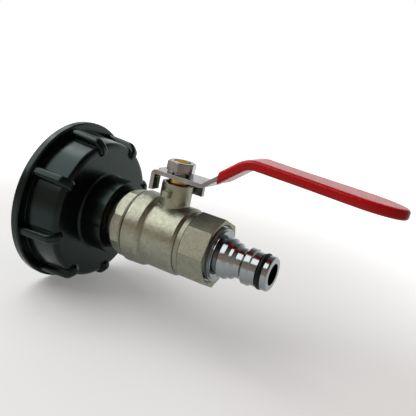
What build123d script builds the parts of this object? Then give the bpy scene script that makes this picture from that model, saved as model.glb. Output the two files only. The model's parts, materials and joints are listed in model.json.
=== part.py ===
from build123d import *
from math import cos, radians, tan
import os

# Tank outlet valve: a coarse-thread cap that screws onto a liquid container, a brass quarter-turn
# ball valve with a steel lever, and a quick-connect hose plug. Millimetres. X runs along the flow
# from the cap's open mouth to the plug's tip, Z runs up along the stem, and the lever is open at rest.

os.makedirs("parts", exist_ok=True)

# Fits, all radial or face to face
turn_gap = 0.05
thread_gap = 0.05
ball_gap = 0.25
stop_gap = 0.2
seal_gap = 0.1

# Tank cap
tank_thread_r = 30.2
tank_thread_l = 14.6
skirt_wall = 5.3
skirt_draft = 1.3
rim_lip = 4.9
rim_t = 4.1
rim_round = 0.8
face_t = 4.0
cap_corner = 2.6
cap_web = 3.0
cap_bore_spare = 0.7
neck_wall = 5.25
neck_l = 12.5
neck_foot = 1.2
neck_lead = 1.6
rib_count = 8
rib_w = 4.8
rib_first_deg = 15.8
rib_rise = 3.5
rib_draft = 1.3
rib_proud = 1.8
rib_reach = 6.5
rib_turn = 3.6
rib_round = 1.7
rib_elbow = 4.0
rib_toe = 2.0
cap_gasket_t = 3.0
cap_gasket_w = 7.0
gasket_undercut = 0.5

# Valve body, on the stations of its outside
pipe_thread_r = 13.15
pipe_thread_l = 15.1
inlet_gasket_t = 1.9
bore_r = 8.8
wrench_af = 31.2
wrench_l = 5.8
wrench_corner = 1.6
thread_relief = 0.5
bead_l = 0.7
bead_rise = 0.15
barrel_rise = 1.55
barrel_l = 9.7
barrel_fall = 0.35
groove_l = 1.8
groove_dip = 0.5
body_wall = 2.7
waist_l = 15.4
end_fall = 0.9
end_fall_l = 1.2

# Ball, seats and the flow passage around the stem axis
stem_set = 4.65
ball_r = 13.2
ball_bore_r = 8.5
seat_lap = 5.8
seat_t = 3.2
seat_lip = 0.8
seat_stand = 0.2
cup_wall = 1.3
cavity_gap = 0.3
joint_step = 0.45
slot_w = 4.2
slot_deep = 3.7

# Stem, packing and the body's stem boss
stem_r = 4.6
flange_step = 1.1
flange_t = 1.4
flange_lift = 0.35
thrust_t = 0.7
gland_web = 1.7
packing_w = 1.2
packing_t = 3.3
gland_t = 3.8
gland_sink = 1.1
gland_collar_w = 0.6
gland_collar_t = 0.7
tang_w = 9.0
boss_wall = 1.55
boss_foot = 1.4
lug_w = 3.6
lug_out = 3.25
lug_down = 3.1
lug_h = 2.8

# Lever, nut and grip, heights above the pipe axis and reaches from the stem axis
lever_lift = 2.6
lever_t = 2.0
hub_spare = 0.15
strip_w = 13.6
hub_bevel = 4.2
hub_l = 14.0
bend_lead = 1.7
slope_deg = 39.3
lever_rise = 15.45
droop_deg = 2.5
lever_reach = 99.6
low_bend = 3.5
high_bend = 11.0
strip_end = 5.5
tab_down = 1.7
tab_inner_r = 0.2
tab_room = 1.45
side_tab_end = 9.2
stud_step = 0.6
stud_af = 6.3
stud_lead = 0.4
washer_t = 1.0
washer_out = 0.2
washer_slit = 1.2
nut_af = 12.0
nut_t = 4.6
nut_lead = 0.5
grip_start = 22.8
coat_t = 1.2
coat_w = 1.3
grip_swell = 1.1
grip_nose_l = 17.8
grip_over = 2.2

# End adapter
adapter_collar_rise = 1.05
adapter_collar_l = 2.3
collar_line = 0.3
joint_seal_t = 0.3
octagon_af = 30.4
octagon_l = 12.8
octagon_lead = 0.7
outlet_thread_l = 11.6
outlet_thread_r = 13.15
adapter_bore_r = 9.0
mouth_chamfer = 0.9

# Hose plug, its steps from the collar that a connector snaps behind
plug_gasket_t = 1.6
plug_thread_wall = 3.75
plug_flange_r = 12.5
plug_flange_l = 1.4
plug_step = 0.8
plug_step_l = 0.7
collar_r = 8.45
root_dip = 0.35
hump_rise = 1.1
second_dip = 0.05
shank_dip = 1.35
land_dip = 0.7
tip_dip = 0.55
tip_round = 0.9
root_l = 1.2
hump_l = 3.1
hump_slope_l = 1.5
second_l = 1.6
second_slope_l = 1.5
shank_l = 2.7
collar_slope_l = 1.5
collar_l = 2.6
collar_fall_l = 0.6
seal_land_l = 3.1
tip_l = 2.7
hump_round = 0.7
o_ring_d = 2.4
o_ring_w = 2.8
o_ring_dip = 0.15
plug_wall = 0.9

# Stations along the pipe
cap_floor = tank_thread_l + cap_gasket_t
cap_l = cap_floor + face_t
socket_floor = cap_floor + cap_web
neck_end = cap_l + neck_l
body_start = socket_floor + inlet_gasket_t
wrench_x = body_start + pipe_thread_l
bead_x = wrench_x + wrench_l
barrel_x = bead_x + bead_l
groove_x = barrel_x + barrel_l
waist_x = groove_x + groove_l
stem_x = waist_x + stem_set
end_fall_x = waist_x + waist_l
body_end = end_fall_x + end_fall_l
collar_x = body_end + joint_seal_t
line_start = collar_x + adapter_collar_l
octagon_x = line_start + collar_line
adapter_end = octagon_x + octagon_l
outlet_floor = adapter_end - outlet_thread_l
plug_start = outlet_floor + plug_gasket_t

# Radii about the pipe
skirt_r = tank_thread_r + skirt_wall
rim_r = skirt_r + rim_lip
rib_top_r = skirt_r + rib_rise
rib_foot_r = skirt_r - rib_reach
neck_r = pipe_thread_r + neck_wall
cap_bore_r = bore_r + cap_bore_spare
cavity_r = ball_r + cavity_gap
joint_thread_r = cavity_r + joint_step
seat_out_r = joint_thread_r - thread_gap - cup_wall - seal_gap
seat_near = ball_r - seat_lap
seat_far = seat_near + seat_t
waist_r = cavity_r + body_wall
groove_r = waist_r - groove_dip
barrel_r = waist_r + barrel_rise
bead_r = wrench_af / 2 / cos(radians(180 / 8)) + bead_rise
adapter_collar_r = joint_thread_r + adapter_collar_rise

# Radii about the stem and heights up it
packing_r = stem_r + packing_w
boss_r = packing_r + boss_wall
flange_r = stem_r + flange_step
stud_r = stem_r - stud_step
slot_floor = ball_r - slot_deep
flange_z = ball_r + flange_lift
thrust_z = flange_z + flange_t + turn_gap
web_z = thrust_z + thrust_t
chamber_z = web_z + gland_web
packing_top = chamber_z + packing_t
gland_top = packing_top + gland_t
boss_top = gland_top + gland_sink
lug_top = boss_top - lug_down
lug_reach = boss_r + lug_out
lever_z = boss_top + lever_lift
nut_z = lever_z + lever_t + washer_t
stud_top = nut_z + nut_t

pipe = Axis.X
stem_line = Axis((stem_x, 0, 0), (0, 0, 1))
stem_side = Plane(origin=(stem_x, 0, 0), x_dir=(1, 0, 0), z_dir=(0, -1, 0))


def save(builder, name):
    """Labels a finished piece and writes it to its own file."""
    builder.part.label = name
    export_step(builder.part, f"parts/{name}.step")


def level(height):
    """The level plane at a height, centred on the stem axis."""
    return Plane(origin=(stem_x, 0, height))


def washer(inner_r, outer_r, start, end, axis_plane=Plane.XZ, axis=pipe):
    """A plain ring between two stations of an axis."""
    with BuildPart() as ring:
        with BuildSketch(axis_plane):
            with BuildLine():
                if axis == pipe:
                    Polyline(
                        (start, inner_r), (end, inner_r), (end, outer_r), (start, outer_r), close=True
                    )
                else:
                    Polyline(
                        (inner_r, start), (outer_r, start), (outer_r, end), (inner_r, end), close=True
                    )
            make_face()
        revolve(axis=axis)
    return ring


def wrench_flats(start, end, across, corner_lead, turn_deg):
    """An eight-sided wrench section whose corners are turned off at its start."""
    corner_r = across / 2 / cos(radians(180 / 8))
    with BuildPart() as flats:
        with BuildSketch(Plane.YZ.offset(start)):
            RegularPolygon(corner_r, 8, rotation=turn_deg)
        extrude(amount=end - start)
        with BuildSketch(Plane.XZ):
            with BuildLine():
                Polyline(
                    (start, 0),
                    (start, across / 2),
                    (start + corner_lead, corner_r),
                    (end, corner_r),
                    (end, 0),
                    close=True,
                )
            make_face()
        revolve(axis=pipe, mode=Mode.INTERSECT)
    return flats


# One rib of the cap, which climbs the skirt, turns over the corner and ends on the front face
rib_front = cap_l + rib_proud
rib_end_r = rib_top_r - rib_draft
wall_mid_r = (tank_thread_r + gasket_undercut + skirt_r - skirt_draft) / 2
with BuildPart() as rib:
    with BuildSketch(Plane.XY):
        with BuildLine():
            FilletPolyline(
                (rim_t / 2, wall_mid_r),
                (rim_t / 2, rib_top_r),
                (cap_l - rib_turn / 2, rib_end_r),
                (rib_front, rib_end_r - rib_turn),
                (rib_front, rib_foot_r + rib_proud),
                (cap_l - rib_proud / 2, rib_foot_r),
                (cap_floor + cap_web / 2, wall_mid_r),
                radius=[0, 0, rib_elbow, rib_elbow, rib_toe, 0, 0],
                close=True,
            )
        make_face()
    extrude(amount=rib_w / 2, both=True)
    sides = rib.faces().filter_by(Axis.Z)
    shoulders = sides.edges().filter_by(lambda edge: edge.center().Y > rib_foot_r + rib_proud / 4)
    shoulders = shoulders.filter_by(lambda edge: edge.center().X > rim_t)
    fillet(shoulders, rib_round)

# Tank cap: rim, ribbed skirt, front wall and the neck that takes the valve
with BuildPart() as tank_cap:
    with BuildSketch(Plane.XZ):
        with BuildLine():
            Polyline(
                (0, tank_thread_r),
                (0, rim_r),
                (rim_t, rim_r),
                (rim_t, skirt_r),
                (cap_l, skirt_r - skirt_draft),
                (cap_l, neck_r),
                (neck_end, neck_r),
                (neck_end, pipe_thread_r + thread_gap + neck_lead),
                (neck_end - neck_lead, pipe_thread_r + thread_gap),
                (socket_floor, pipe_thread_r + thread_gap),
                (socket_floor, cap_bore_r),
                (cap_floor, cap_bore_r),
                (cap_floor, tank_thread_r + gasket_undercut),
                (tank_thread_l, tank_thread_r + gasket_undercut),
                (tank_thread_l, tank_thread_r),
                close=True,
            )
        make_face()
    revolve(axis=pipe)
    circles = tank_cap.edges().filter_by(GeomType.CIRCLE)
    fillet(circles.filter_by(lambda edge: abs(edge.radius - rim_r) < 0.01), rim_round)
    front = tank_cap.edges().filter_by(GeomType.CIRCLE)
    front = front.filter_by(lambda edge: abs(edge.arc_center.X - cap_l) < 0.01)
    fillet(front.sort_by(SortBy.RADIUS)[-1], cap_corner)
    foot = tank_cap.edges().filter_by(GeomType.CIRCLE)
    foot = foot.filter_by(lambda edge: abs(edge.arc_center.X - cap_l) < 0.01)
    fillet(foot.filter_by(lambda edge: abs(edge.radius - neck_r) < 0.01), neck_foot)
    for index in range(rib_count):
        add(rib.part, rotation=(rib_first_deg + index * 360 / rib_count, 0, 0))
save(tank_cap, "tank_cap")

gasket_r = tank_thread_r + gasket_undercut - seal_gap
cap_gasket = washer(gasket_r - cap_gasket_w, gasket_r, tank_thread_l, cap_floor)
save(cap_gasket, "cap_gasket")

inlet_gasket = washer(cap_bore_r, pipe_thread_r - seal_gap, socket_floor, body_start)
save(inlet_gasket, "inlet_gasket")

# Valve body: pipe thread, wrench flats, barrel, grooves and the stem boss with its two stop lugs.
# The boss is drawn first with a stretch of pipe, so that its foot can be rounded.
seat_floor = stem_x - seat_far
cavity_x = stem_x - seat_near - seat_lip
joint_x = stem_x + seat_near - seat_stand
with BuildPart() as boss:
    with BuildSketch(Plane.YZ.offset(barrel_x)):
        Circle(groove_r)
    extrude(amount=end_fall_x - barrel_x)
    with BuildSketch(level(0)):
        Circle(boss_r)
    extrude(amount=boss_top)
    fillet(boss.edges().filter_by(GeomType.BSPLINE), boss_foot)

with BuildPart() as valve_body:
    with BuildSketch(Plane.XZ):
        with BuildLine():
            Polyline(
                (body_start, 0),
                (body_start, pipe_thread_r - thread_relief),
                (body_start + thread_relief, pipe_thread_r),
                (wrench_x - 3 * thread_relief, pipe_thread_r),
                (wrench_x - 2 * thread_relief, pipe_thread_r - thread_relief),
                (wrench_x, pipe_thread_r - thread_relief),
                (bead_x, pipe_thread_r - thread_relief),
                (bead_x, bead_r - bead_rise),
                (bead_x + bead_l / 2, bead_r),
                (barrel_x, bead_r - bead_rise),
                (barrel_x + 2 * bead_l, barrel_r),
                (groove_x - 2 * groove_dip, barrel_r - barrel_fall),
                (groove_x, barrel_r - barrel_fall - groove_dip),
                (groove_x + groove_l / 2, groove_r),
                (waist_x - groove_dip, groove_r),
                (waist_x, waist_r),
                (end_fall_x, waist_r),
                (body_end, waist_r - end_fall),
                (body_end, 0),
                close=True,
            )
        make_face()
    revolve(axis=pipe)
    add(wrench_flats(wrench_x, bead_x, wrench_af, wrench_corner, 22.5).part)
    add(boss.part)
    with BuildSketch(level(lug_top - lug_h)):
        RectangleRounded(lug_w, 2 * lug_reach, lug_w / 6)
    extrude(amount=lug_h)
    with BuildSketch(Plane.XZ):
        with BuildLine():
            Polyline(
                (body_start, 0),
                (body_start, bore_r),
                (seat_floor, bore_r),
                (seat_floor, seat_out_r + seal_gap),
                (cavity_x, seat_out_r + seal_gap),
                (cavity_x, cavity_r),
                (joint_x, cavity_r),
                (joint_x, joint_thread_r),
                (body_end, joint_thread_r),
                (body_end, 0),
                close=True,
            )
        make_face()
    revolve(axis=pipe, mode=Mode.SUBTRACT)
    with BuildSketch(stem_side):
        with BuildLine():
            Polyline(
                (0, 0),
                (flange_r + seal_gap, 0),
                (flange_r + seal_gap, web_z),
                (stem_r + turn_gap, web_z),
                (stem_r + turn_gap, chamber_z),
                (packing_r, chamber_z),
                (packing_r, boss_top),
                (0, boss_top),
                close=True,
            )
        make_face()
    revolve(axis=stem_line, mode=Mode.SUBTRACT)
save(valve_body, "valve_body")


def seat(side):
    """A seat ring on one side of the ball, hollowed to the ball's curve."""
    with BuildPart() as ring:
        with BuildSketch(Plane.XZ):
            with Locations((stem_x + side * (seat_near + seat_t / 2), (bore_r + seat_out_r) / 2)):
                Rectangle(seat_t, seat_out_r - bore_r)
            with Locations((stem_x, 0)):
                Circle(ball_r + ball_gap, mode=Mode.SUBTRACT)
        revolve(axis=pipe)
    return ring


inlet_seat = seat(-1)
save(inlet_seat, "inlet_seat")

outlet_seat = seat(1)
save(outlet_seat, "outlet_seat")

# Ball: bored through along the flow, with the stem's slot across its top
with BuildPart() as ball:
    with Locations((stem_x, 0, 0)):
        Sphere(ball_r)
    with BuildSketch(Plane.YZ.offset(stem_x)):
        Circle(ball_bore_r)
    extrude(amount=ball_r, both=True, mode=Mode.SUBTRACT)
    with BuildSketch(level(slot_floor)):
        Rectangle(slot_w, 2 * ball_r)
    extrude(amount=ball_r, mode=Mode.SUBTRACT)
save(ball, "ball")

# Stem: tang, thrust flange, sealed shank, and a flatted stud for the lever and its nut
with BuildPart() as stem:
    with BuildSketch(stem_side):
        with BuildLine():
            Polyline(
                (0, flange_z),
                (flange_r, flange_z),
                (flange_r, flange_z + flange_t),
                (stem_r, flange_z + flange_t),
                (stem_r, lever_z),
                (stud_r, lever_z),
                (stud_r, stud_top - stud_lead),
                (stud_r - stud_lead, stud_top),
                (0, stud_top),
                close=True,
            )
        make_face()
    revolve(axis=stem_line)
    with BuildSketch(level(lever_z)):
        Rectangle(2 * stud_r, 2 * stud_r)
        Rectangle(stud_af, 2 * stud_r, mode=Mode.SUBTRACT)
    extrude(amount=stud_top - lever_z, mode=Mode.SUBTRACT)
    with BuildSketch(level(slot_floor + ball_gap)):
        Rectangle(slot_w - 2 * seal_gap, tang_w)
    extrude(amount=flange_z + flange_t / 2 - slot_floor - ball_gap)
save(stem, "stem")

thrust_washer = washer(stem_r + turn_gap, flange_r + seal_gap / 2, thrust_z, web_z, stem_side, stem_line)
save(thrust_washer, "thrust_washer")

stem_packing = washer(stem_r + turn_gap, packing_r, chamber_z, packing_top, stem_side, stem_line)
save(stem_packing, "stem_packing")

# Packing gland: a threaded ring over the packing, with a collar and two key slots
with BuildPart() as packing_gland:
    with BuildSketch(stem_side):
        with BuildLine():
            Polyline(
                (stem_r + turn_gap, packing_top),
                (packing_r, packing_top),
                (packing_r, gland_top - gland_collar_t),
                (stem_r + gland_collar_w, gland_top - gland_collar_t),
                (stem_r + gland_collar_w, gland_top),
                (stem_r + turn_gap, gland_top),
                close=True,
            )
        make_face()
    revolve(axis=stem_line)
    with BuildSketch(level(gland_top)):
        Rectangle(2 * packing_r, gland_collar_t)
    extrude(amount=-2 * gland_collar_t, mode=Mode.SUBTRACT)
save(packing_gland, "packing_gland")

# Lever: a bent steel strip with a stop tab at its tail and another on its far side
hub_w = 2 * (boss_r + hub_spare)
tab_round = lever_t + tab_inner_r
tab_bottom = lug_top - tab_down
tail_tab_x = boss_r + tab_room + lever_t
hub_tail = tail_tab_x - tab_inner_r
bend_x = hub_l + bend_lead
mid_z = lever_z + lever_t / 2
crest_x = bend_x + lever_rise / tan(radians(slope_deg))
crest_z = mid_z + lever_rise
end_z = crest_z - (lever_reach - crest_x) * tan(radians(droop_deg))
lug_side = lug_w / 2 + stop_gap


def bent_strip(start, reach, thickness, low_round, high_round, width):
    """A strip along the lever's bent centre line, as wide as asked."""
    slope = tan(radians(slope_deg))
    fall = tan(radians(droop_deg))
    points = [(crest_x, crest_z), (reach, crest_z - (reach - crest_x) * fall)]
    if start < bend_x:
        points = [(start, mid_z), (bend_x, mid_z)] + points
        rounds = [low_round, high_round]
    else:
        points = [(start, mid_z + (start - bend_x) * slope)] + points
        rounds = [high_round]
    with BuildPart() as strip:
        with BuildSketch(stem_side):
            with BuildLine():
                FilletPolyline(*points, radius=rounds)
            trace(line_width=thickness)
        extrude(amount=width / 2, both=True)
    return strip


def bent_tab(face, outer, width):
    """A stop tab bent down off the lever's edge, drawn on a plane and drawn out by its width."""
    root = outer - tab_round - lever_t
    with BuildPart() as tab:
        with BuildSketch(face):
            with BuildLine():
                FilletPolyline(
                    (root, lever_z + lever_t),
                    (outer, lever_z + lever_t),
                    (outer, tab_bottom),
                    (outer - lever_t, tab_bottom),
                    (outer - lever_t, lever_z),
                    (root, lever_z),
                    radius=[0, tab_round, 0, 0, tab_round - lever_t, 0],
                    close=True,
                )
            make_face()
        extrude(amount=width)
    return tab


tail_face = Plane(origin=(stem_x, -lug_side, 0), x_dir=(-1, 0, 0), z_dir=(0, 1, 0))
side_face = Plane(origin=(stem_x + lug_side, 0, 0), x_dir=(0, 1, 0), z_dir=(1, 0, 0))
with BuildPart() as lever:
    add(bent_strip(-hub_tail, lever_reach, lever_t, low_bend, high_bend, hub_w).part)
    with BuildSketch(level(0)):
        with BuildLine():
            Polyline(
                (lever_reach - strip_end, -strip_w / 2),
                (crest_x, -strip_w / 2),
                (hub_l, -hub_w / 2),
                (tab_round - tail_tab_x, -hub_w / 2),
                (tab_round - tail_tab_x, -lug_side),
                (-hub_tail, -lug_side),
                (-hub_tail, hub_w / 2 - hub_bevel),
                (hub_bevel - hub_tail, hub_w / 2),
                (hub_l, hub_w / 2),
                (crest_x, strip_w / 2),
                (lever_reach - strip_end, strip_w / 2),
                (lever_reach, strip_w / 2 - strip_end),
                (lever_reach, strip_end - strip_w / 2),
                close=True,
            )
        make_face()
    extrude(amount=crest_z + lever_rise, mode=Mode.INTERSECT)
    add(bent_tab(tail_face, tail_tab_x, lug_side - hub_w / 2).part)
    add(bent_tab(side_face, hub_w / 2 + tab_round, side_tab_end - lug_side).part)
    with BuildSketch(level(lever_z)):
        Circle(stud_r + thread_gap)
        Rectangle(stud_af + 2 * thread_gap, 2 * stud_r + 2 * thread_gap, mode=Mode.INTERSECT)
    extrude(amount=lever_t, mode=Mode.SUBTRACT)
save(lever, "lever")

# Lever grip: a dipped sleeve that swells towards its closed tip
grip_tip = lever_reach + grip_over
grip_t = lever_t + 2 * coat_t
neck_side = strip_w / 2 + coat_w
swell_side = neck_side + grip_swell
swell_x = grip_tip - grip_nose_l
with BuildPart() as lever_grip:
    add(bent_strip(grip_start - grip_t / 2, grip_tip, grip_t, low_bend, high_bend, 2 * swell_side).part)
    with BuildSketch(level(0)):
        with BuildLine():
            neck = Line((grip_start, 0), (grip_start, -neck_side))
            straight = Line(neck @ 1, (crest_x + swell_x / 4, -neck_side))
            Spline(straight @ 1, (swell_x, -swell_side), tangents=((1, 0), (1, 0)))
            EllipticalCenterArc((swell_x, 0), grip_nose_l, swell_side, start_angle=270, arc_size=90)
            mirror(about=Plane.XZ)
        make_face()
    extrude(amount=crest_z + lever_rise, mode=Mode.INTERSECT)
    long_edges = lever_grip.edges().filter_by(lambda edge: edge.center().X > stem_x + grip_start + grip_t)
    fillet(long_edges, grip_t / 3)
    add(lever.part, mode=Mode.SUBTRACT)
save(lever_grip, "lever_grip")

# Lock washer, split across on one side, and the low nut that clamps the lever
washer_r = nut_af / 2 + washer_out
with BuildPart() as lock_washer:
    with BuildSketch(level(lever_z + lever_t)):
        Circle(washer_r)
        Circle(stud_r + thread_gap, mode=Mode.SUBTRACT)
        with Locations((0, -washer_r)):
            Rectangle(washer_slit, 2 * (washer_r - stud_r), rotation=20, mode=Mode.SUBTRACT)
    extrude(amount=washer_t)
save(lock_washer, "lock_washer")

with BuildPart() as lever_nut:
    with BuildSketch(level(nut_z)):
        RegularPolygon(nut_af / 2, 6, major_radius=False, rotation=-14)
    extrude(amount=nut_t)
    with BuildSketch(stem_side):
        with BuildLine():
            nut_corner = nut_af / 2 / cos(radians(30))
            Polyline(
                (0, nut_z),
                (nut_corner - nut_lead, nut_z),
                (nut_corner, nut_z + nut_lead),
                (nut_corner, nut_z + nut_t - nut_lead),
                (nut_corner - 2 * nut_lead, nut_z + nut_t),
                (0, nut_z + nut_t),
                close=True,
            )
        make_face()
    revolve(axis=stem_line, mode=Mode.INTERSECT)
    with BuildSketch(level(nut_z)):
        Circle(stud_r + thread_gap)
    extrude(amount=nut_t, mode=Mode.SUBTRACT)
save(lever_nut, "lever_nut")

# Joint seal and end adapter: the cup that holds the outlet seat, a collar, and the octagon
joint_seal = washer(joint_thread_r, adapter_collar_r, body_end, collar_x)
save(joint_seal, "joint_seal")

cup_x = joint_x + seal_gap
seat_back = stem_x + seat_far
with BuildPart() as end_adapter:
    with BuildSketch(Plane.XZ):
        with BuildLine():
            Polyline(
                (cup_x, 0),
                (cup_x, joint_thread_r - thread_gap),
                (collar_x, joint_thread_r - thread_gap),
                (collar_x, adapter_collar_r),
                (line_start, adapter_collar_r),
                (line_start, adapter_collar_r - collar_line),
                (octagon_x, adapter_collar_r - collar_line),
                (octagon_x, 0),
                close=True,
            )
        make_face()
    revolve(axis=pipe)
    add(wrench_flats(octagon_x, adapter_end, octagon_af, octagon_lead, 0).part)
    with BuildSketch(Plane.XZ):
        with BuildLine():
            Polyline(
                (cup_x, 0),
                (cup_x, seat_out_r + seal_gap),
                (seat_back, seat_out_r + seal_gap),
                (seat_back, adapter_bore_r),
                (outlet_floor, adapter_bore_r),
                (outlet_floor, outlet_thread_r),
                (adapter_end - mouth_chamfer, outlet_thread_r),
                (adapter_end, outlet_thread_r + mouth_chamfer),
                (adapter_end, 0),
                close=True,
            )
        make_face()
    revolve(axis=pipe, mode=Mode.SUBTRACT)
save(end_adapter, "end_adapter")

# Hose plug: pipe thread, flange, two humps, the snap groove, the collar and the seal land
flange_end = adapter_end + plug_flange_l
step_end = flange_end + plug_step_l
hump_x = step_end + root_l
hump_end = hump_x + hump_l
second_x = hump_end + hump_slope_l
second_end = second_x + second_l
shank_x = second_end + second_slope_l
shank_end = shank_x + shank_l
collar_start = shank_end + collar_slope_l
collar_end = collar_start + collar_l
land_x = collar_end + collar_fall_l
ring_land = land_x + seal_land_l
ring_end = ring_land + o_ring_w
plug_end = ring_end + tip_l
plug_mouth_r = outlet_thread_r - plug_thread_wall
plug_step_r = plug_flange_r - plug_step
second_r = collar_r - second_dip
shank_r = collar_r - shank_dip
land_r = collar_r - land_dip
o_ring_r = collar_r - o_ring_dip
seal_floor_r = o_ring_r - o_ring_d
plug_bore_r = seal_floor_r - plug_wall
with BuildPart() as hose_plug:
    with BuildSketch(Plane.XZ):
        with BuildLine():
            FilletPolyline(
                (plug_start, plug_mouth_r),
                (plug_start, outlet_thread_r - thread_gap),
                (adapter_end - mouth_chamfer, outlet_thread_r - thread_gap),
                (adapter_end - mouth_chamfer, plug_step_r),
                (adapter_end, plug_step_r),
                (adapter_end, plug_flange_r),
                (flange_end, plug_flange_r),
                (flange_end, plug_step_r),
                (step_end, plug_step_r),
                (step_end, collar_r - root_dip),
                (hump_x, collar_r - root_dip),
                (hump_x, collar_r + hump_rise),
                (hump_end, collar_r + hump_rise),
                (second_x, second_r),
                (second_end, second_r),
                (shank_x, shank_r),
                (shank_end, shank_r),
                (collar_start, collar_r),
                (collar_end, collar_r),
                (land_x, land_r),
                (ring_land, land_r),
                (ring_land, seal_floor_r),
                (ring_end, seal_floor_r),
                (ring_end, collar_r - tip_dip),
                (plug_end, collar_r - tip_dip),
                (plug_end, plug_bore_r),
                (hump_x, plug_bore_r),
                (adapter_end, plug_mouth_r),
                radius=[0] * 11 + [hump_round] * 2 + [0, hump_round] + [0] * 9 + [tip_round] + [0] * 3,
                close=True,
            )
        make_face()
    revolve(axis=pipe)
save(hose_plug, "hose_plug")

plug_gasket = washer(plug_mouth_r, outlet_thread_r - seal_gap, outlet_floor, plug_start)
save(plug_gasket, "plug_gasket")

with BuildPart() as plug_o_ring:
    with BuildSketch(Plane.XZ):
        with Locations(((ring_land + ring_end) / 2, o_ring_r - o_ring_d / 2)):
            Circle(o_ring_d / 2)
    revolve(axis=pipe)
save(plug_o_ring, "plug_o_ring")
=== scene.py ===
import json
import math

import bmesh
import bpy
from mathutils import Matrix, Vector


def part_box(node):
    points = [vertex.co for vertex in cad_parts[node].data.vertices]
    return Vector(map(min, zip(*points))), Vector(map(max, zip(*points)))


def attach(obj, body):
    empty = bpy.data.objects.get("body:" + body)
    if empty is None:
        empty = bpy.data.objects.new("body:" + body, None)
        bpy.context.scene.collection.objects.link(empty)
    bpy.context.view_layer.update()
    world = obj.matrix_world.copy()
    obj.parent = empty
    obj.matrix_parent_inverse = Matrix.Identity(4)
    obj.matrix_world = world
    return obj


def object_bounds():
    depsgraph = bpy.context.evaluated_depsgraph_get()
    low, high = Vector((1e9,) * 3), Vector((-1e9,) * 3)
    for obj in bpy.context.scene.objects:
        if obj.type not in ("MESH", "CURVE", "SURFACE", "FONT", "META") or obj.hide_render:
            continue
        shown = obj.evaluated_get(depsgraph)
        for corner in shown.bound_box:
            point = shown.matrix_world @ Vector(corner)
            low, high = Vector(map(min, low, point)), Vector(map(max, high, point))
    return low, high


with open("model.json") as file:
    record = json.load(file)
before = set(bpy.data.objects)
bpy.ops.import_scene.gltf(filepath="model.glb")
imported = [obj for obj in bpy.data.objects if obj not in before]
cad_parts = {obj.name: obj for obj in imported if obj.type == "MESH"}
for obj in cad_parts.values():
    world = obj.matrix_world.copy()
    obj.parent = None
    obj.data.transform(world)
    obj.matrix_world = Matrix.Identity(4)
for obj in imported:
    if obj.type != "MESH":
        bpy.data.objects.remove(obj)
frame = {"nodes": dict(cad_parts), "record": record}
cad_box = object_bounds()

MM = 0.001

# The photograph's camera, found by fitting the cap's rim, the pipe and the lever: its place and the range
# that it sees in metres, its directions as unit vectors, and its lens and sensor in millimetres
CAMERA_PLACE = (0.19116, -0.23148, 0.08393)
CAMERA_RIGHT = (0.855363, 0.476306, 0.203682)
CAMERA_DOWN = (0.293873, -0.122360, -0.947980)
CAMERA_AHEAD = (-0.426606, 0.870724, -0.244636)
CAMERA_RANGE = (0.01, 20.0)
CAMERA_LENS = 51.08
CAMERA_SENSOR = 36.0

# Light levels, where 1 is white. The soft glow lights the object from all round. The ceiling's level and
# the floor's two glows, near the object and far off, are only seen and mirrored.
SOFT_GLOW = 0.30
CEILING = 0.14
FLOOR_WHITE = 0.80
FLOOR_GLOW = 0.26
FLOOR_FAR_GLOW = 1.06

# Angles over the horizon between which the world dims from white to the ceiling's level
WHITE_UP_TO_DEG = 10.0
DIM_FROM_DEG = 56.0

# The dim room behind the camera: its share of white, the direction that it lies in, and the cosines of
# the angle to that direction between which the white backdrop turns into it
ROOM = (0.46, 0.365, 0.305)
ROOM_SIDE = (0.44, -0.90, 0.0)
BACKDROP_COSINE = -0.3
ROOM_COSINE = 0.4

# The floor, in metres: half its side, its gap under the object, and the distances from the origin
# between which it takes on the room's shade and its far glow
FLOOR_HALF = 4.0
FLOOR_GAP = 0.2 * MM
FLOOR_SHADE_REACH = (0.12, 0.38)
FLOOR_GLOW_REACH = (0.10, 0.42)

# The threads' ridges, in millimetres. The inlet's starts a little inside the mouth of the cap's neck, and
# its crest lies 0.05 mm inside the body's plain cylinder, which hides it.
TANK_RIDGE_HEIGHT = 2.2
INLET_RIDGE_HEIGHT = 1.0
INLET_CREST_R = 13.1
INLET_START_DEPTH = 1.2

# How finely a ridge is drawn: the steps in a turn, the steps over which each end thins, the share of its
# height that the ends keep, and the angle past which its edges stay sharp
RIDGE_STEPS = 96
RIDGE_FADE_STEPS = 12
RIDGE_END_HEIGHT = 0.02
RIDGE_SHARP_DEG = 35

# The span that holds most of a noise's values, over which colours and roughness change
NOISE_SPAN = (0.3, 0.7)

# Rays that each soft edge is worked out from
SOFT_EDGE_SAMPLES = 4


def new_object(name, data):
    made = bpy.data.objects.new(name, data)
    bpy.context.scene.collection.objects.link(made)
    return made


def make_camera():
    data = bpy.data.cameras.new("photo_camera")
    data.lens = CAMERA_LENS
    data.sensor_width = CAMERA_SENSOR
    data.clip_start, data.clip_end = CAMERA_RANGE
    camera = new_object("photo_camera", data)
    right = Vector(CAMERA_RIGHT)
    up = -Vector(CAMERA_DOWN)
    back = -Vector(CAMERA_AHEAD)
    turn = Matrix((right, up, back)).transposed().to_4x4()
    camera.matrix_world = Matrix.Translation(CAMERA_PLACE) @ turn
    bpy.context.scene.camera = camera


def mapped(tree, value, low, high, new_low=0.0, new_high=1.0, curve="SMOOTHSTEP"):
    """The value's span from low to high, mapped to the new one and held at its ends."""
    node = tree.nodes.new("ShaderNodeMapRange")
    node.interpolation_type = curve
    tree.links.new(value, node.inputs["Value"])
    node.inputs["From Min"].default_value = low
    node.inputs["From Max"].default_value = high
    node.inputs["To Min"].default_value = new_low
    node.inputs["To Max"].default_value = new_high
    return node.outputs["Result"]


def combined(tree, operation, first, second):
    """What a Math node makes of two values."""
    node = tree.nodes.new("ShaderNodeMath")
    node.operation = operation
    tree.links.new(first, node.inputs[0])
    tree.links.new(second, node.inputs[1])
    return node.outputs["Value"]


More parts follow.
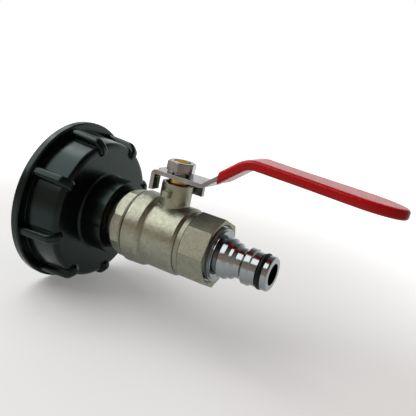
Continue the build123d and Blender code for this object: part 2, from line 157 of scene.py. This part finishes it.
class Shader:
    """A node material round one Principled shader, with short calls for what the materials share."""

    def __init__(self, name, colour, metallic, roughness, **sockets):
        self.material = bpy.data.materials.new(name)
        self.material.use_nodes = True
        self.tree = self.material.node_tree
        self.main = self.tree.nodes["Principled BSDF"]
        self.main.inputs["Base Color"].default_value = (*colour, 1.0)
        self.main.inputs["Metallic"].default_value = metallic
        self.main.inputs["Roughness"].default_value = roughness
        for socket, value in sockets.items():
            self.main.inputs[socket.replace("_", " ")].default_value = value
        self.place = self.tree.nodes.new("ShaderNodeTexCoord").outputs["Object"]
        self.normal = None

    def drive(self, socket, value):
        self.tree.links.new(value, self.main.inputs[socket])

    def stretched(self, scale):
        """The object's place, drawn out along the axes whose scale is small."""
        node = self.tree.nodes.new("ShaderNodeMapping")
        self.tree.links.new(self.place, node.inputs["Vector"])
        node.inputs["Scale"].default_value = scale
        return node.outputs["Vector"]

    def noise(self, per_metre, detail=3.0, rough=0.5, place=None):
        node = self.tree.nodes.new("ShaderNodeTexNoise")
        self.tree.links.new(place or self.place, node.inputs["Vector"])
        node.inputs["Scale"].default_value = per_metre
        node.inputs["Detail"].default_value = detail
        node.inputs["Roughness"].default_value = rough
        return node.outputs["Fac"]

    def vary_colour(self, noise, low_colour, high_colour):
        node = self.tree.nodes.new("ShaderNodeValToRGB")
        self.tree.links.new(noise, node.inputs["Fac"])
        stops = node.color_ramp.elements
        for index, colour in enumerate((low_colour, high_colour)):
            stops[index].position = NOISE_SPAN[index]
            stops[index].color = (*colour, 1.0)
        self.drive("Base Color", node.outputs["Color"])

    def vary_roughness(self, noise, low, high):
        self.drive("Roughness", mapped(self.tree, noise, *NOISE_SPAN, low, high, curve="LINEAR"))

    def soft_edges(self, radius_mm):
        """Edges that shine as if they were rounded. It comes before the bumps, which build on it."""
        node = self.tree.nodes.new("ShaderNodeBevel")
        node.samples = SOFT_EDGE_SAMPLES
        node.inputs["Radius"].default_value = radius_mm * MM
        self.normal = node.outputs["Normal"]
        self.drive("Normal", self.normal)

    def bump(self, noise, strength, height_mm):
        node = self.tree.nodes.new("ShaderNodeBump")
        self.tree.links.new(noise, node.inputs["Height"])
        node.inputs["Strength"].default_value = strength
        node.inputs["Distance"].default_value = height_mm * MM
        if self.normal is not None:
            self.tree.links.new(self.normal, node.inputs["Normal"])
        self.normal = node.outputs["Normal"]
        self.drive("Normal", self.normal)


def cap_plastic():
    shader = Shader(
        "cap_plastic", colour=(0.002, 0.003, 0.003), metallic=0.0, roughness=0.22,
        Specular_IOR_Level=0.32, Specular_Tint=(0.68, 1.0, 0.95, 1.0),
    )
    shader.soft_edges(radius_mm=0.55)
    shader.vary_colour(shader.noise(60.0), (0.0015, 0.002, 0.002), (0.003, 0.004, 0.004))
    shader.vary_roughness(shader.noise(220.0, detail=4.0), 0.17, 0.27)
    shader.bump(shader.noise(900.0, detail=2.0), strength=0.10, height_mm=0.05)
    shader.bump(shader.noise(90.0, detail=2.0), strength=0.06, height_mm=0.4)
    return shader.material


def nickel_plate(name, grain, smooth, dull):
    """Speckled plating, with the strength of its grain and its lowest and highest roughness."""
    shader = Shader(name, colour=(0.29, 0.295, 0.225), metallic=1.0, roughness=0.36)
    shader.soft_edges(radius_mm=0.25)
    speckle = shader.noise(600.0, detail=5.0, rough=0.75)
    shader.vary_colour(speckle, (0.23, 0.235, 0.176), (0.345, 0.355, 0.285))
    shader.vary_roughness(shader.noise(400.0, detail=4.0), smooth, dull)
    shader.bump(shader.noise(1300.0), strength=grain, height_mm=0.15)
    shader.bump(shader.noise(300.0, detail=2.0), strength=grain, height_mm=0.20)
    return shader.material


def plug_chrome():
    shader = Shader("plug_chrome", colour=(0.30, 0.33, 0.335), metallic=1.0, roughness=0.12)
    shader.soft_edges(radius_mm=0.12)
    rings = shader.noise(300.0, detail=2.0, place=shader.stretched((8.0, 0.6, 0.6)))
    shader.vary_roughness(rings, 0.09, 0.16)
    shader.bump(rings, strength=0.04, height_mm=0.05)
    return shader.material


def ball_chrome():
    shader = Shader("ball_chrome", colour=(0.72, 0.74, 0.76), metallic=1.0, roughness=0.05)
    shader.vary_roughness(shader.noise(500.0), 0.04, 0.12)
    return shader.material


def zinc_steel():
    shader = Shader("zinc_steel", colour=(0.25, 0.262, 0.262), metallic=1.0, roughness=0.18)
    shader.soft_edges(radius_mm=0.22)
    shader.vary_colour(shader.noise(120.0, detail=4.0), (0.19, 0.20, 0.20), (0.31, 0.325, 0.325))
    rolled = shader.noise(500.0, rough=0.6, place=shader.stretched((0.15, 1.5, 1.0)))
    shader.vary_roughness(rolled, 0.10, 0.22)
    shader.bump(rolled, strength=0.06, height_mm=0.05)
    shader.bump(shader.noise(150.0, detail=2.0), strength=0.08, height_mm=0.2)
    return shader.material


def plain_brass():
    shader = Shader(
        "plain_brass", colour=(0.46, 0.31, 0.08), metallic=1.0, roughness=0.30,
        Specular_Tint=(0.55, 0.42, 0.16, 1.0),
    )
    shader.soft_edges(radius_mm=0.15)
    shader.vary_colour(shader.noise(250.0, detail=4.0), (0.36, 0.23, 0.05), (0.54, 0.38, 0.12))
    turned = shader.noise(700.0, detail=2.0, place=shader.stretched((0.6, 0.6, 3.0)))
    shader.vary_roughness(turned, 0.16, 0.30)
    shader.bump(turned, strength=0.08, height_mm=0.05)
    return shader.material


def grip_vinyl():
    shader = Shader(
        "grip_vinyl", colour=(0.56, 0.003, 0.006), metallic=0.0, roughness=0.22,
        Specular_IOR_Level=0.10, Coat_Weight=0.26, Coat_Roughness=0.12,
    )
    shader.soft_edges(radius_mm=1.6)
    shader.vary_colour(shader.noise(40.0), (0.52, 0.002, 0.004), (0.60, 0.004, 0.007))
    shader.vary_roughness(shader.noise(260.0), 0.18, 0.30)
    waves = shader.noise(70.0, detail=2.0, rough=0.4, place=shader.stretched((0.5, 1.0, 1.0)))
    shader.bump(waves, strength=0.15, height_mm=0.5)
    return shader.material


def seal_rubber():
    shader = Shader(
        "seal_rubber", colour=(0.004, 0.005, 0.005), metallic=0.0, roughness=0.42, Specular_IOR_Level=0.2,
    )
    shader.vary_roughness(shader.noise(600.0), 0.35, 0.52)
    shader.bump(shader.noise(1500.0, detail=2.0), strength=0.10, height_mm=0.03)
    return shader.material


def seat_plastic():
    shader = Shader(
        "seat_plastic", colour=(0.84, 0.84, 0.81), metallic=0.0, roughness=0.42,
        Subsurface_Weight=0.1, Subsurface_Scale=1.5 * MM,
    )
    shader.vary_roughness(shader.noise(300.0), 0.36, 0.50)
    shader.bump(shader.noise(800.0, detail=2.0), strength=0.08, height_mm=0.03)
    return shader.material


def joint_compound():
    shader = Shader("joint_compound", colour=(0.16, 0.15, 0.10), metallic=0.0, roughness=0.7)
    shader.vary_colour(shader.noise(900.0, detail=4.0), (0.10, 0.09, 0.06), (0.24, 0.23, 0.16))
    shader.bump(shader.noise(1800.0, detail=4.0), strength=0.5, height_mm=0.1)
    return shader.material


def dress_nodes():
    """Gives each CAD node its material, and returns the materials by node."""
    turned_nickel = nickel_plate("nickel_plate_turned", grain=0.30, smooth=0.40, dull=0.54)
    cast_nickel = nickel_plate("nickel_plate_cast", grain=0.50, smooth=0.30, dull=0.44)
    zinc = zinc_steel()
    brass = plain_brass()
    rubber = seal_rubber()
    white = seat_plastic()
    looks = {
        "tank_cap": cap_plastic(),
        "valve_body": cast_nickel,
        "end_adapter": turned_nickel,
        "hose_plug": plug_chrome(),
        "ball": ball_chrome(),
        "lever": zinc,
        "lock_washer": zinc,
        "lever_nut": zinc,
        "lever_grip": grip_vinyl(),
        "stem": brass,
        "packing_gland": brass,
        "plug_o_ring": rubber,
        "cap_gasket": rubber,
        "inlet_gasket": rubber,
        "plug_gasket": rubber,
        "inlet_seat": white,
        "outlet_seat": white,
        "thrust_washer": white,
        "stem_packing": white,
        "joint_seal": joint_compound(),
    }
    for name, material in looks.items():
        materials = frame["nodes"][name].data.materials
        materials.clear()
        materials.append(material)
    return looks


def ridge_rows(shape, root_r, crest_r, root_w, crest_w, start, pitch, turns):
    """Adds the ridge's section at each step from start on, thinned at both ends. Sizes are in millimetres."""
    count = int(turns * RIDGE_STEPS)
    rows = []
    for index in range(count + 1):
        angle = 2 * math.pi * index / RIDGE_STEPS
        fade = min(1.0, index / RIDGE_FADE_STEPS, (count - index) / RIDGE_FADE_STEPS)
        crest = root_r + (crest_r - root_r) * max(fade, RIDGE_END_HEIGHT)
        middle = start + pitch * index / RIDGE_STEPS
        section = (root_r, -root_w / 2), (crest, -crest_w / 2), (crest, crest_w / 2), (root_r, root_w / 2)
        row = []
        for reach, offset in section:
            x = (middle + offset) * MM
            row.append(shape.verts.new((x, reach * MM * math.cos(angle), reach * MM * math.sin(angle))))
        rows.append(row)
    return rows


def helical_ridge(name, material, body, slot, **sizes):
    """A screw thread's ridge round the pipe's axis, with the sizes that ridge_rows takes."""
    shape = bmesh.new()
    rows = ridge_rows(shape, **sizes)
    for near, far in zip(rows, rows[1:]):
        for corner in range(len(near)):
            after = (corner + 1) % len(near)
            shape.faces.new((near[corner], near[after], far[after], far[corner]))
    shape.faces.new(rows[0])
    shape.faces.new(rows[-1])
    bmesh.ops.recalc_face_normals(shape, faces=shape.faces)
    mesh = bpy.data.meshes.new(name)
    shape.to_mesh(mesh)
    shape.free()
    for face in mesh.polygons:
        face.use_smooth = True
    mesh.set_sharp_from_angle(angle=math.radians(RIDGE_SHARP_DEG))
    mesh.materials.append(material)
    ridge = new_object(name, mesh)
    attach(ridge, body)


def make_threads(looks):
    """The ridges of two threads that are plain cylinders in the solids."""
    mounts = {mount["name"]: mount for mount in frame["record"]["mounts"]}
    tank_wall_r = mounts["tank_thread"]["dims"]["r_mm"]
    neck_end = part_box("tank_cap")[1].x / MM
    helical_ridge(
        "tank_thread", looks["tank_cap"], "valve", "cap_plastic",
        root_r=tank_wall_r, crest_r=tank_wall_r - TANK_RIDGE_HEIGHT, root_w=3.6, crest_w=1.2,
        start=3.4, pitch=6.0, turns=1.55,
    )
    helical_ridge(
        "inlet_thread", looks["valve_body"], "valve", "nickel_plate",
        root_r=INLET_CREST_R - INLET_RIDGE_HEIGHT, crest_r=INLET_CREST_R, root_w=1.5, crest_w=0.3,
        start=neck_end - INLET_START_DEPTH, pitch=1.814, turns=1.6,
    )


def seen_rays(tree):
    """One for camera, glossy and transmission rays, else zero."""
    rays = tree.nodes.new("ShaderNodeLightPath").outputs
    seen = combined(tree, "MAXIMUM", rays["Is Camera Ray"], rays["Is Glossy Ray"])
    return combined(tree, "MAXIMUM", seen, rays["Is Transmission Ray"])


def room_side(tree, place):
    """Zero on the backdrop's side, rising smoothly to one on the camera's side."""
    direction = tree.nodes.new("ShaderNodeVectorMath")
    direction.operation = "NORMALIZE"
    tree.links.new(place, direction.inputs[0])
    side = tree.nodes.new("ShaderNodeVectorMath")
    side.operation = "DOT_PRODUCT"
    tree.links.new(direction.outputs["Vector"], side.inputs[0])
    side.inputs[1].default_value = ROOM_SIDE
    return mapped(tree, side.outputs["Value"], BACKDROP_COSINE, ROOM_COSINE)


def room_shade(tree, value, white):
    """White at zero, and the room's shade of it at one."""
    node = tree.nodes.new("ShaderNodeValToRGB")
    tree.links.new(value, node.inputs["Fac"])
    stops = node.color_ramp.elements
    stops[0].color = (white, white, white, 1.0)
    stops[1].color = (*(white * part for part in ROOM), 1.0)
    return node.outputs["Color"]


def make_world():
    """White from the horizon down, dim overhead and the room's shade behind the camera, with a soft glow."""
    world = bpy.data.worlds.new("studio")
    bpy.context.scene.world = world
    world.use_nodes = True
    tree = world.node_tree
    background = tree.nodes["Background"]
    direction = tree.nodes.new("ShaderNodeTexCoord").outputs["Generated"]
    shade = room_shade(tree, room_side(tree, direction), 1.0)
    tree.links.new(shade, background.inputs["Color"])
    height = tree.nodes.new("ShaderNodeSeparateXYZ")
    tree.links.new(direction, height.inputs["Vector"])
    white_up_to = math.sin(math.radians(WHITE_UP_TO_DEG))
    dim_from = math.sin(math.radians(DIM_FROM_DEG))
    sky = mapped(tree, height.outputs["Z"], white_up_to, dim_from, 1.0, CEILING)
    strength = tree.nodes.new("ShaderNodeMix")
    strength.data_type = "FLOAT"
    tree.links.new(seen_rays(tree), strength.inputs["Factor"])
    strength.inputs["A"].default_value = SOFT_GLOW
    tree.links.new(sky, strength.inputs["B"])
    tree.links.new(strength.outputs["Result"], background.inputs["Strength"])


def make_floor():
    """A floor that shows the shadow near the object, and far off looks like the world that it meets."""
    level = cad_box[0].z - FLOOR_GAP
    signs = (-1, -1), (1, -1), (1, 1), (-1, 1)
    corners = [(x * FLOOR_HALF, y * FLOOR_HALF, level) for x, y in signs]
    mesh = bpy.data.meshes.new("floor")
    mesh.from_pydata(corners, [], [range(len(corners))])
    floor = new_object("floor", mesh)
    white = (FLOOR_WHITE, FLOOR_WHITE, FLOOR_WHITE)
    shader = Shader("floor", colour=white, metallic=0.0, roughness=0.9, Specular_IOR_Level=0.0)
    tree = shader.tree
    length = tree.nodes.new("ShaderNodeVectorMath")
    length.operation = "LENGTH"
    tree.links.new(shader.place, length.inputs[0])
    reach = length.outputs["Value"]
    far = mapped(tree, reach, *FLOOR_SHADE_REACH)
    shade = room_shade(tree, combined(tree, "MULTIPLY", far, room_side(tree, shader.place)), FLOOR_WHITE)
    shader.drive("Base Color", shade)
    shader.drive("Emission Color", shade)
    glow = mapped(tree, reach, *FLOOR_GLOW_REACH, FLOOR_GLOW, FLOOR_FAR_GLOW)
    shader.drive("Emission Strength", combined(tree, "MULTIPLY", seen_rays(tree), glow))
    mesh.materials.append(shader.material)


def area_light(name, place, aim, size, power):
    """A rectangle of light, in metres and watts."""
    data = bpy.data.lights.new(name, "AREA")
    data.shape = "RECTANGLE"
    data.size, data.size_y = size
    data.energy = power
    light = new_object(name, data)
    light.location = place
    light.rotation_mode = "QUATERNION"
    light.rotation_quaternion = (Vector(aim) - Vector(place)).to_track_quat("-Z", "Y")


make_camera()
make_threads(dress_nodes())
make_world()
make_floor()
area_light("key", place=(-0.37, -0.28, 0.545), aim=(0.06, 0.0, 0.0), size=(0.80, 0.62), power=3.8)
area_light("rim", place=(-0.44, 0.18, 0.60), aim=(0.02, 0.0, 0.02), size=(0.40, 0.40), power=1.2)
bpy.context.scene.view_settings.view_transform = "Standard"
